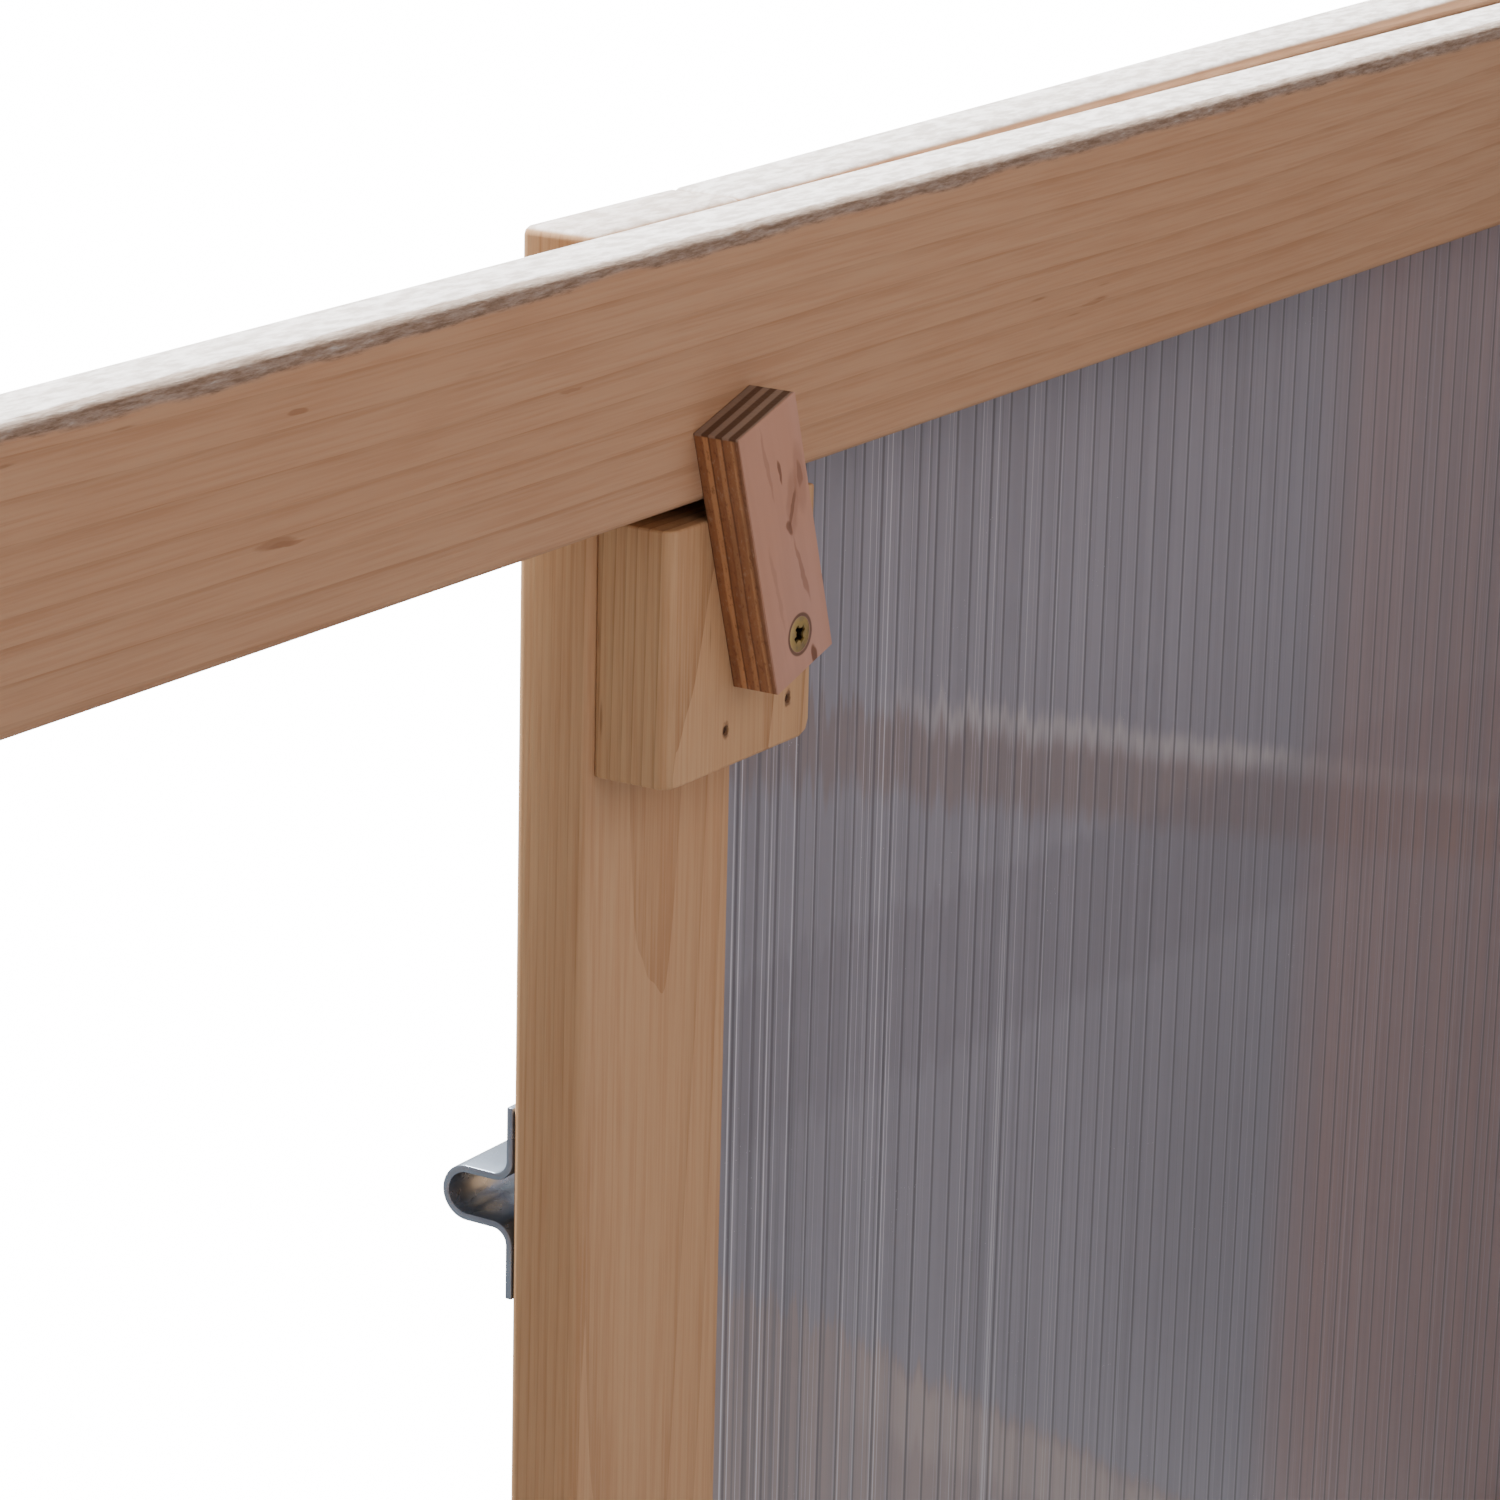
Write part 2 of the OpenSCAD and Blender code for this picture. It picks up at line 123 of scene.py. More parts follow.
class LathSettings(bpy.types.PropertyGroup):
    """Sizes and colours of the laths."""

    edge: bpy.props.FloatProperty(
        name="Eased edge", description="Width of a lath's eased edge", default=1.7 * MM,
        min=0.2 * MM, max=4 * MM, subtype="DISTANCE", unit="LENGTH", precision=4)
    rail_edge: bpy.props.FloatProperty(
        name="Lintel edge", description="Width of the lintel's eased edge",
        default=1.9 * MM, min=0.2 * MM, max=4 * MM, subtype="DISTANCE", unit="LENGTH",
        precision=4)
    rings: bpy.props.FloatProperty(
        name="Ring spacing", description="Distance between growth rings",
        default=4.0 * MM, min=1 * MM, max=10 * MM, subtype="DISTANCE", unit="LENGTH",
        precision=4)
    early: bpy.props.FloatVectorProperty(
        name="Early wood", description="Colour between the rings",
        default=(0.495, 0.290, 0.165), min=0, max=1, subtype="COLOR")
    late: bpy.props.FloatVectorProperty(
        name="Late wood", description="Colour of the rings",
        default=(0.285, 0.140, 0.064), min=0, max=1, subtype="COLOR")


class SheetSettings(bpy.types.PropertyGroup):
    """Sizes and colours of the twin-wall sheets."""

    pitch: bpy.props.FloatProperty(
        name="Rib pitch", description="Distance between the ribs", default=6.8 * MM,
        min=3 * MM, max=20 * MM, subtype="DISTANCE", unit="LENGTH", precision=4)
    sink: bpy.props.FloatProperty(
        name="Sink", description="How far the skin sinks between ribs",
        default=0.10 * MM, min=0, max=1 * MM, subtype="DISTANCE", unit="LENGTH",
        precision=5)
    tint: bpy.props.FloatVectorProperty(
        name="Tint", description="Colour of the sheet", default=(0.245, 0.238, 0.265),
        min=0, max=1, subtype="COLOR")


class FittingSettings(bpy.types.PropertyGroup):
    """Sizes and colours of the button, the bolt, the hinges and their screws."""

    head: bpy.props.FloatProperty(
        name="Screw head", description="Radius of the button's screw head",
        default=3.35 * MM, min=2 * MM, max=5 * MM, subtype="DISTANCE", unit="LENGTH",
        precision=4)
    small_head: bpy.props.FloatProperty(
        name="Small screw head", description="Radius of a hinge screw's head",
        default=2.3 * MM, min=1 * MM, max=4 * MM, subtype="DISTANCE", unit="LENGTH",
        precision=4)
    brad: bpy.props.FloatProperty(
        name="Brad", description="Radius of a brad's head", default=0.8 * MM,
        min=0.2 * MM, max=2 * MM, subtype="DISTANCE", unit="LENGTH", precision=4)
    zinc: bpy.props.FloatVectorProperty(
        name="Zinc", description="Colour of the bright plating",
        default=(0.33, 0.385, 0.465), min=0, max=1, subtype="COLOR")
    veneer: bpy.props.FloatVectorProperty(
        name="Veneer", description="Colour of the button's face",
        default=(0.46, 0.255, 0.185), min=0, max=1, subtype="COLOR")


class StageSettings(bpy.types.PropertyGroup):
    """Camera, light and floor."""

    heading: bpy.props.FloatProperty(
        name="Heading", description="Camera's turn from the back towards the right",
        default=math.radians(57.949), subtype="ANGLE")
    dip: bpy.props.FloatProperty(
        name="Dip", description="How far the camera looks down",
        default=math.radians(16.399), subtype="ANGLE")
    roll: bpy.props.FloatProperty(
        name="Roll", description="Camera's roll", default=math.radians(1.344),
        subtype="ANGLE")
    lens: bpy.props.FloatProperty(
        name="Lens", description="Focal length in millimetres", default=123.6, min=10)
    sun: bpy.props.FloatProperty(
        name="Overhead light", description="Strength of the overhead light",
        default=20.0, min=0)
    sky: bpy.props.FloatProperty(
        name="Fill", description="Strength of the even fill", default=0.57, min=0)


# ---------------------------------------------------------------- shader maths


class Value:
    """A shader socket that takes part in arithmetic."""

    def __init__(self, finish, socket):
        self.finish = finish
        self.socket = socket

    def math(self, operation, *others):
        return self.finish.node("ShaderNodeMath", {"operation": operation}, self, *others)

    def __add__(self, other):
        return self.math("ADD", other)

    __radd__ = __add__

    def __mul__(self, other):
        return self.math("MULTIPLY", other)

    __rmul__ = __mul__

    def __sub__(self, other):
        return self.math("SUBTRACT", other)

    def __rsub__(self, other):
        return self.finish.node("ShaderNodeMath", {"operation": "SUBTRACT"}, other, self)

    def __truediv__(self, other):
        return self.math("DIVIDE", other)

    def __pow__(self, other):
        return self.math("POWER", other)

    def sqrt(self):
        return self.math("SQRT")

    def fract(self):
        return self.math("FRACT")

    def size(self):
        return self.math("ABSOLUTE")

    def between(self, low, high):
        """0 at low, 1 at high, eased between and held beyond."""
        return self.finish.node(
            "ShaderNodeMapRange", {"interpolation_type": "SMOOTHSTEP"}, self, low, high)


class Finish:
    """One material and the nodes that make it."""

    def __init__(self, name):
        self.material = bpy.data.materials.new(name)
        self.material.use_nodes = True
        self.tree = self.material.node_tree
        self.shader = self.tree.nodes["Principled BSDF"]
        self.point = self.node("ShaderNodeTexCoord", {}, out="Object")

    def link(self, value, socket):
        if isinstance(value, Value):
            self.tree.links.new(value.socket, socket)
        else:
            socket.default_value = value

    def node(self, kind, settings, *values, out=0, **named):
        """Adds a node with its settings, fills its sockets and gives its output."""
        node = self.tree.nodes.new(kind)
        for key, value in settings.items():
            if key == "stops":
                self.stops(node.color_ramp, value)
            else:
                setattr(node, key, value)
        for i, value in enumerate(values):
            self.link(value, node.inputs[i])
        for key, value in named.items():
            self.link(value, node.inputs[key])
        return Value(self, node.outputs[out])

    def stops(self, ramp, stops):
        while len(ramp.elements) < len(stops):
            ramp.elements.new(0.5)
        for element, (place, colour) in zip(ramp.elements, stops):
            element.position = place
            element.color = (*colour, 1)

    def set(self, **values):
        """Fills the shader's sockets; an underscore stands for a space."""
        for key, value in values.items():
            self.link(value, self.shader.inputs[key.replace("_", " ")])

    def split(self, vector):
        node = self.tree.nodes.new("ShaderNodeSeparateXYZ")
        self.link(vector, node.inputs[0])
        return [Value(self, node.outputs[i]) for i in range(3)]

    def stretch(self, vector, scale):
        return self.node("ShaderNodeVectorMath", {"operation": "MULTIPLY"}, vector, scale)

    def noise(self, vector, scale, detail=2.0, rough=0.5):
        return self.node(
            "ShaderNodeTexNoise", {}, Vector=self.stretch(vector, scale), Scale=1.0,
            Detail=detail, Roughness=rough)

    def cells(self, vector, scale):
        return self.node(
            "ShaderNodeTexVoronoi", {}, Vector=self.stretch(vector, scale), Scale=1.0)

    def mix(self, factor, a, b):
        """Mixes two colours."""
        node = self.tree.nodes.new("ShaderNodeMix")
        node.data_type = "RGBA"
        for socket, value in ((node.inputs[0], factor), (node.inputs[6], a),
                              (node.inputs[7], b)):
            if isinstance(value, (tuple, list, Vector)) or hasattr(value, "r"):
                value = (*value[:3], 1)
            self.link(value, socket)
        return Value(self, node.outputs[2])

    def bump(self, height, strength, distance):
        return self.node(
            "ShaderNodeBump", {}, Height=height, Strength=strength, Distance=distance)


def tinted(colour, gain):
    return tuple(min(c * gain, 1.0) for c in colour)


def stroke(x, z, start, end, width, shake):
    """A thin drawn-out mark between two points of a face, in millimetres; it runs
    along the second of the two coordinates."""
    (xa, za), (xb, zb) = start, end
    lean = (xb - xa) / (zb - za)
    middle, half = (za + zb) / 2 * MM, abs(zb - za) * 0.56 * MM
    off = (x - ((z - za * MM) * lean + xa * MM) + shake) / (width * MM)
    along = (z - middle) / half
    return (off * off + along * along).between(1.0, 0.3)


def pine(name, centre, along, seed, gain=1.0, gold=0.0, pith=None, tight=1.0,
         bold=1.0, painted_top_sheen=0.0, torn_and_shaded=None, dent_shade=(), flecks=()):
    """Planed pine: growth rings about a pith beside the lath, fibres, pores and flecks."""
    s = bpy.context.scene.coldframe_laths
    rnd = random.Random(seed)
    f = Finish(name)
    spin = Vector(along).rotation_difference(X_AXIS)
    side, away = pith or (rnd.uniform(0, 360), rnd.uniform(0.034, 0.060))
    side = math.radians(side)
    place = -(spin @ Vector(centre)) + Vector(
        (rnd.uniform(-2, 2), away * math.cos(side), away * math.sin(side)))
    at = f.node("ShaderNodeMapping", {}, Vector=f.point, Location=place,
                Rotation=spin.to_euler())
    _, y, z = f.split(at)
    sway = f.noise(at, (1.9, 9, 9), 1.0) - 0.5
    lift = f.noise(at, (2.6, 11, 7), 1.0) - 0.5
    across, up = y + sway * 0.020, z + lift * 0.016
    reach = (across * across + up * up).sqrt()
    uneven = f.noise(at, (0.6, 60, 60), 1.0)
    ring = (reach / (s.rings * tight) + uneven * 1.8).fract()
    late = ring ** 4.0
    fibre = f.noise(at, (30, 1500, 1500), 3.0, 0.6)
    dash = f.noise(at, (90, 700, 700), 2.0, 0.6)
    blotch = f.noise(at, (5, 28, 28), 2.0)
    pore = f.cells(at, (38, 420, 420)).between(0.16, 0.05)
    rare = f.noise(at, (9, 60, 60), 1.0).between(0.60, 0.66)
    early = (s.early[0] * gain * (1 + 0.02 * gold), s.early[1] * gain * (1 + 0.04 * gold),
             s.early[2] * gain * (1 - 0.22 * gold))
    dark = (s.late[0] * gain, s.late[1] * gain, s.late[2] * gain * (1 - 0.2 * gold))
    line = tinted(dark, 1.25 - 0.3 * bold)
    body = f.mix(late * (0.12 + 0.60 * dash + 0.45 * blotch) * bold, early, line)
    body = f.mix(fibre.between(0.36, 0.72) * 0.45, body,
                 (early[0] * 1.15, early[1] * 1.30, early[2] * 1.36))
    body = f.mix(fibre.between(0.52, 0.30) * 0.25, body, tinted(dark, 1.3))
    body = f.mix(blotch.between(0.30, 0.75) * 0.22, body, tinted(dark, 1.5))
    body = f.mix(pore * rare * 0.5, body, (0.17, 0.08, 0.035))
    normal = f.node("ShaderNodeTexCoord", {}, out="Normal")
    end = f.node("ShaderNodeVectorMath", {"operation": "DOT_PRODUCT"}, normal,
                 tuple(along), out="Value").size().between(0.80, 0.96)
    body = f.mix(end * (0.35 + 0.4 * late), body, tinted(dark, 0.95))
    rough = 0.58 + 0.16 * fibre
    height = fibre * 0.6 + late * 0.5
    # Painted shade: a dark brown spot, taller than wide, around each brad's dent.
    if dent_shade:
        px, _, pz = f.split(f.point)
        ragged = f.noise(f.point, (700, 700, 700), 2.0, 0.6)
        for nx, nz, radius in dent_shade:
            dx, dz = px - nx, pz - nz
            near = ((dx * dx + dz * dz * 0.45).sqrt() + (ragged - 0.5) * 0.0014).between(
                radius * 1.25, radius * 0.7)
            body = f.mix(near * 0.8, body, (0.13, 0.065, 0.035))
    if flecks:
        px, _, pz = f.split(f.point)
        shake = (f.noise(f.point, (160, 160, 500), 2.0) - 0.5) * 0.0012
        for first, last, width, depth in flecks:
            body = f.mix(stroke(pz, px, first, last, width, shake) * depth, body,
                         (0.24, 0.11, 0.05))
    # Painted highlight: faces pointing up are mixed towards a mottled pale grey-white, as if brightly lit from
    # above.
    if painted_top_sheen:
        facing = f.split(normal)[2]
        mottle = f.noise(f.point, (160, 420, 420), 3.0, 0.65)
        body = f.mix(facing.between(0.5, 0.9) * painted_top_sheen, body, f.mix(
            mottle.between(0.35, 0.65), (0.48, 0.455, 0.435), (0.80, 0.785, 0.775)))
    # Torn fibres along the lintel's inner top arris, coloured with painted shade: the band is darkened to brownish
    # grey towards the shaded inner face.
    if torn_and_shaded:
        _, py, pz = f.split(f.point)
        dy, dz = py - torn_and_shaded[0], pz - torn_and_shaded[1] + 0.0005
        ragged = f.noise(f.point, (190, 1300, 1300), 4.0, 0.75)
        wide = f.noise(f.point, (45, 45, 45), 1.0)
        band = ((dy * dy + dz * dz).sqrt() + (ragged - 0.5) * 0.002
                + (wide - 0.5) * 0.0024).between(0.0029, 0.0017)
        body = f.mix(band * 0.90, body, f.node(
            "ShaderNodeValToRGB",
            {"stops": [(0.34, (0.15, 0.100, 0.068)), (0.46, (0.23, 0.165, 0.12)),
                       (0.60, (0.32, 0.255, 0.205)), (0.71, (0.44, 0.395, 0.35))]},
            ragged))
        height = height + band * ragged * 2.6
        rough = rough + band * 0.2
    f.set(Base_Color=body, Roughness=rough, Specular_IOR_Level=0.3,
          Normal=f.bump(height, 0.4, 0.00016))
    return f.material


def plywood(name, pivot, back, thickness, top, lean):
    """Thin plies that show as dark and light lines on the edges, and a pink face."""
    s = bpy.context.scene.coldframe_fittings
    f = Finish(name)
    turn = Euler((0, -lean, 0))
    place = -(turn.to_matrix() @ Vector((pivot.x, 0, pivot.z)))
    at = f.node("ShaderNodeMapping", {}, Vector=f.point, Location=place, Rotation=turn)
    x, y, z = f.split(at)
    wave = (f.noise(at, (60, 60, 60), 1.0) - 0.5) * 0.0005
    depth = (y - back + wave) / thickness
    brown, tan = (0.29, 0.125, 0.054), (0.52, 0.255, 0.112)
    sides = f.node("ShaderNodeValToRGB", {"stops": [
        (0.0, (0.10, 0.045, 0.02)), (0.03, brown), (0.17, (0.33, 0.14, 0.060)),
        (0.20, tan), (0.29, tan), (0.32, (0.12, 0.05, 0.022)),
        (0.35, (0.30, 0.125, 0.052)), (0.47, brown), (0.50, (0.42, 0.20, 0.088)),
        (0.58, (0.45, 0.215, 0.095)), (0.61, (0.15, 0.065, 0.03)), (0.65, brown),
        (0.78, (0.33, 0.145, 0.062)), (0.82, (0.46, 0.225, 0.10)),
        (0.90, (0.20, 0.085, 0.038)), (1.0, (0.36, 0.18, 0.10))]}, depth)
    dark, pale = (0.105, 0.052, 0.027), (0.27, 0.175, 0.122)
    ends = f.node("ShaderNodeValToRGB", {"stops": [
        (0.0, (0.12, 0.06, 0.03)), (0.04, pale), (0.16, pale), (0.19, dark),
        (0.31, dark), (0.34, pale), (0.46, pale), (0.49, dark), (0.61, dark),
        (0.64, pale), (0.76, pale), (0.79, dark), (0.91, dark), (0.94, pale)]}, depth)
    grit = f.noise(at, (1500, 1500, 700), 2.0, 0.7)
    ply = f.mix(grit.between(0.55, 0.75) * 0.25, sides, (0.52, 0.35, 0.22))
    ply = f.mix(grit.between(0.45, 0.30) * 0.45, ply, (0.12, 0.05, 0.024))
    long = f.noise(at, (600, 600, 60), 2.0)
    ply = f.mix(long.between(0.50, 0.68) * 0.35, ply, (0.15, 0.06, 0.028))
    ply = f.mix(z.between(top - 0.0006, top - 0.0002), ply, ends)
    grain = f.noise(at, (420, 50, 22), 3.0, 0.6)
    face = f.mix(grain.between(0.35, 0.75) * 0.30, tuple(s.veneer),
                 tinted(s.veneer, 0.78))
    face = f.mix(f.noise(at, (60, 60, 14), 1.0).between(0.4, 0.7) * 0.35, face,
                 (0.44, 0.215, 0.115))
    shake = (f.noise(at, (500, 50, 260), 2.0) - 0.5) * 0.0016
    for start, end, width, depth_of in (
            ((-1.0, 33.2), (-1.5, 28.2), 0.55, 0.85), ((-4.9, 26.0), (-1.6, 19.6), 0.9, 0.7),
            ((-4.6, 29.5), (-2.4, 17.5), 2.2, 0.30), ((-1.2, 21.4), (-2.2, 18.2), 1.0, 0.8),
            ((-6.9, 30.4), (-6.6, 25.0), 1.0, 0.50), ((-6.9, 34), (-6.4, 20), 2.2, 0.25),
            ((-2.4, 18), (-4.5, 4.0), 0.7, 0.45), ((-3.2, -3.6), (-3.1, -7.8), 0.9, 0.95),
            ((2.6, 41), (1.6, 26), 0.6, 0.28), ((5.2, 20), (4.0, 2), 0.6, 0.2)):
        face = f.mix(stroke(x, z, start, end, width, shake) * depth_of, face,
                     (0.16, 0.07, 0.04))
    # Painted shade: a dark ring in the gap just outside the screw head.
    head_gap_shade = ((x * x + z * z).sqrt() - (s.head + 0.00012)).size().between(0.0005, 0.00015)
    face = f.mix(head_gap_shade * 0.8, face, (0.07, 0.035, 0.02))
    flat = depth.between(0.955, 0.985)
    f.set(Base_Color=f.mix(flat, ply, face), Roughness=0.62 + 0.12 * grain,
          Specular_IOR_Level=0.3,
          Normal=f.bump(grit * (1 - flat) * 1.4 + grain * 0.35, 0.45, 0.0002))
    return f.material


def twin_wall(name, centre, across, along, seed, see_through_bands=()):
    """Clear ribbed sheet, smoky where its cells stack up, with drawn-out streaks; the leaf's sheet also gets
    painted see-through light and shade.
    """
    s = bpy.context.scene.coldframe_sheets
    f = Finish(name)
    turn = Matrix((across, along, Vector(across).cross(Vector(along)))).to_euler()
    place = -(turn.to_matrix() @ Vector(centre)) + Vector((0, seed * 0.7, 0))
    at = f.node("ShaderNodeMapping", {}, Vector=f.point, Location=place, Rotation=turn)
    u = f.split(at)[0]
    cell = (u / s.pitch + 0.5).fract()
    edge = (cell - 0.5).size()
    rib = edge.between(0.085, 0.025)
    lip = (cell - 0.615).size().between(0.045, 0.012)
    wide = f.noise(at, (150, 1.5, 1), 2.0, 0.6)
    fine = f.noise(at, (900, 2.5, 1), 3.0, 0.65)
    crisp = f.noise(at, (1250, 1.3, 1), 1.0)
    dark_streaks = f.noise(at, (640, 1.8, 1), 1.0)
    patch = f.noise(at, (11, 0.9, 1), 1.0).between(0.42, 0.62)
    tone = f.noise(at, (5, 7, 1), 2.0)
    base = f.mix(tone.between(0.25, 0.8), tinted(s.tint, 0.90), tinted(s.tint, 1.10))
    warm = f.noise(at, (4, 3, 1), 1.0)
    # Painted see-through light and shade: on the leaf's sheet, patch and warm become fixed zones, and each band is
    # painted at its place.
    if see_through_bands:
        px, _, pz = f.split(f.point)
        patch = px.between(-0.235, -0.075)
        warm = px.between(-0.235, -0.325) * (0.75 + 0.25 * pz.between(0.35, 0.1))
        jag = (f.noise(f.point, (330, 330, 0), 2.0, 0.7) - 0.5) * (0.006 + patch * 0.018)
        for x0, z0, slope, low, high, colour, begin, strength in see_through_bands:
            off = pz - ((px - x0) * slope + z0) + jag
            shape = off.between(low - 0.004, low + 0.003) * off.between(
                high + 0.0022, high - 0.0022)
            if begin:
                shape = shape * px.between(begin + 0.02, begin - 0.02)
            base = f.mix(shape * strength, base, colour)
    # Warm tint: random on most sheets; on the leaf's sheet it is the painted see-through brown zone.
    base = f.mix(warm.between(0.4, 0.95) * 0.70, base, (0.30, 0.195, 0.172))
    base = f.mix(wide.between(0.42, 0.66) * 0.25, base, tinted(s.tint, 0.66))
    base = f.mix(fine.between(0.56, 0.78) * 0.40, base, tinted(s.tint, 1.6))
    # Darker fine streaks, strongest where patch is high.
    base = f.mix(dark_streaks.between(0.56, 0.66) * (0.15 + 0.45 * patch), base,
                 tinted(s.tint, 0.5))
    base = f.mix(crisp.between(0.60, 0.70) * (0.12 + 0.75 * patch), base,
                 (0.62, 0.62, 0.66))
    base = f.mix(lip * (0.10 + 0.35 * wide), base, tinted(s.tint, 1.7))
    base = f.mix(rib * 0.70, base, tinted(s.tint, 0.36))
    speck = f.cells(at, (700, 700, 1)).between(0.10, 0.04) * f.noise(
        at, (40, 40, 1), 1.0).between(0.60, 0.70)
    base = f.mix(speck * 0.5, base, (0.7, 0.7, 0.74))
    f.set(Base_Color=base, Roughness=0.34 + 0.12 * fine, Alpha=0.975,
          Specular_IOR_Level=0.4, Normal=f.bump(fine * 0.5 + wide, 0.25, 0.0002))
    return f.material


def plated(name, colour, rough, warm=None, recess=None):
    """Plated steel with faint drawing lines and clouding, with painted near-black shade below a recess's level."""
    f = Finish(name)
    cloud = f.noise(f.point, (130, 130, 130), 3.0, 0.6)
    lines = f.noise(f.point, (2200, 140, 140), 2.0)
    base = f.mix(cloud.between(0.3, 0.75), tuple(colour), tinted(colour, 0.72))
    if warm:
        base = f.mix(f.noise(f.point, (420, 420, 420), 2.0).between(0.4, 0.7), base, warm)
    # Painted shade: below the recess's level the colour goes near black, as shade inside the cross recess.
    if recess is not None:
        base = f.mix(f.split(f.point)[1].between(recess, recess - 0.0004) * 0.92, base,
                     (0.018, 0.012, 0.008))
    f.set(Base_Color=base, Metallic=0.80, Roughness=rough + 0.12 * cloud,
          Normal=f.bump(lines + cloud * 0.6, 0.18, 0.00006))
    return f.material


# ---------------------------------------------------------------- modelling helpers


def pick(*pieces):
    """Leaves only these selected, the last one active."""
    bpy.ops.object.select_all(action="DESELECT")
    for piece in pieces:
        piece.select_set(True)
        bpy.context.view_layer.objects.active = piece


def choose(piece, kind, test):
    """Enters edit mode with only the edges or polygons that pass a test selected."""
    bpy.ops.object.mode_set(mode="EDIT")
    bpy.ops.mesh.select_all(action="DESELECT")
    bpy.ops.object.mode_set(mode="OBJECT")
    for item in getattr(piece.data, kind):
        item.select = test(item)
    bpy.ops.object.mode_set(mode="EDIT")


def settle(matrix=None):
    """Moves the active piece by a matrix and writes its place into its mesh."""
    piece = bpy.context.active_object
    if matrix is not None:
        piece.matrix_world = matrix @ piece.matrix_world
    pick(piece)
    bpy.ops.object.transform_apply(location=True, rotation=True, scale=True)
    return piece


def finish_with(kind, **settings):
    """Adds a modifier to the active piece and applies it."""
    modifier = bpy.context.active_object.modifiers.new(kind.title(), kind)
    for key, value in settings.items():
        setattr(modifier, key, value)
    bpy.ops.object.modifier_apply(modifier=modifier.name)


def copy_of(node, name):
    """A new piece with a CAD node's shape, its triangles merged into whole faces."""
    mesh = frame["nodes"][node].data.copy()
    mesh.materials.clear()
    piece = bpy.data.objects.new(name, mesh)
    bpy.context.scene.collection.objects.link(piece)
    pick(piece)
    if mesh.has_custom_normals:
        bpy.ops.mesh.customdata_custom_splitnormals_clear()
    bpy.ops.object.mode_set(mode="EDIT")
    bpy.ops.mesh.select_all(action="SELECT")
    bpy.ops.mesh.remove_doubles(threshold=0.000005)
    bpy.ops.mesh.dissolve_limited(angle_limit=math.radians(0.5))
    bpy.ops.object.mode_set(mode="OBJECT")
    return piece


def plane_back(piece, node, amount):
    """Takes a shaving off a door lath's inner face, so that it shuts clear."""
    turn = stance(node)
    back = turn.inverted()
    inner = lying_box(node)[1].y - amount
    for v in piece.data.vertices:
        place = back @ v.co
        if place.y > inner:
            place.y = inner
            v.co = turn @ place


def ease(width, segments=3, angle=BEVEL_ANGLE):
    """Rounds the active piece's sharp edges and shades it."""
    finish_with("BEVEL", width=width, segments=segments, limit_method="ANGLE",
                angle_limit=math.radians(angle), use_clamp_overlap=True)
    bpy.ops.object.shade_smooth_by_angle(angle=SMOOTH_ANGLE)


def dress(piece, material, node, body=None):
    """Gives a piece its material and puts it under its body, found from the CAD node it stands for unless given.
    """
    piece.data.materials.clear()
    piece.data.materials.append(material)
    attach(piece, body or BODY_OF[node])
    return piece


def stance(node):
    """The turn that takes a closed door, or a lid lying on its hinge, to its rest."""
    body = BODY_OF[node]
    if body in ("door", "bolt"):
        pin = Matrix.Translation(Vector(JOINTS["door_swing"]["pos_m"]))
        return pin @ Matrix.Rotation(DOOR_OPEN, 4, "Z") @ pin.inverted()
    if body in ("lid_left", "lid_right"):
        pin = Matrix.Translation(Vector((0, *JOINTS["lid_left_swing"]["pos_m"][1:])))
        return pin @ Matrix.Rotation(LID_SLOPE - LID_OPEN, 4, "X")
    return Matrix.Identity(4)


def lying_box(node, turn=None):
    """A node's lowest and highest corners before its stance, or a turn, turns it."""
    back = (turn or stance(node)).inverted()
    points = [back @ v.co for v in frame["nodes"][node].data.vertices]
    return (Vector([min(p[i] for p in points) for i in range(3)]),
            Vector([max(p[i] for p in points) for i in range(3)]))


def grain_of(node):
    """Direction of a lath's grain."""
    if node.startswith("side_rail_top"):
        return RAIL_RISE
    low, high = lying_box(node)
    size = high - low
    axis = [X_AXIS, Y_AXIS, Z_AXIS][max(range(3), key=lambda i: size[i])]
    return stance(node).to_3x3() @ axis


def centre_of(node):
    low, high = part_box(node)
    return (low + high) / 2


# ---------------------------------------------------------------- operators


class COLDFRAME_OT_laths(bpy.types.Operator):
    """Posts, rails and stiles: eased edges and grain along each one"""

    bl_idname = "coldframe.laths"
    bl_label = "Laths"

    def execute(self, context):
        s = context.scene.coldframe_laths
        for i, node in enumerate(LATHS):
            piece = copy_of(node, node + "_wood")
            lintel = node == "lintel"
            ease(s.rail_edge if lintel else s.edge)
            if BODY_OF[node] == "door":
                plane_back(piece, node, DOOR_SHAVING)
            # The lintel's inner top arris gets torn fibres coloured with painted shade.
            torn_and_shaded = (INNER_Y, FRONT_H) if lintel else None
            dress(piece, pine(node + "_pine", centre_of(node), grain_of(node), 20 + i,
                              gold=STILE_GOLD if "stile" in node else 0.0,
                              pith=PITH.get(node), tight=TIGHT.get(node, 1.0),
                              bold=BOLD.get(node, 0.95), gain=GAIN.get(node, 1.0),
                              painted_top_sheen=TOP_SHEEN.get(node, 0.0), torn_and_shaded=torn_and_shaded,
                              flecks=FLECKS.get(node, ())), node)
            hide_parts(node)
        return {"FINISHED"}


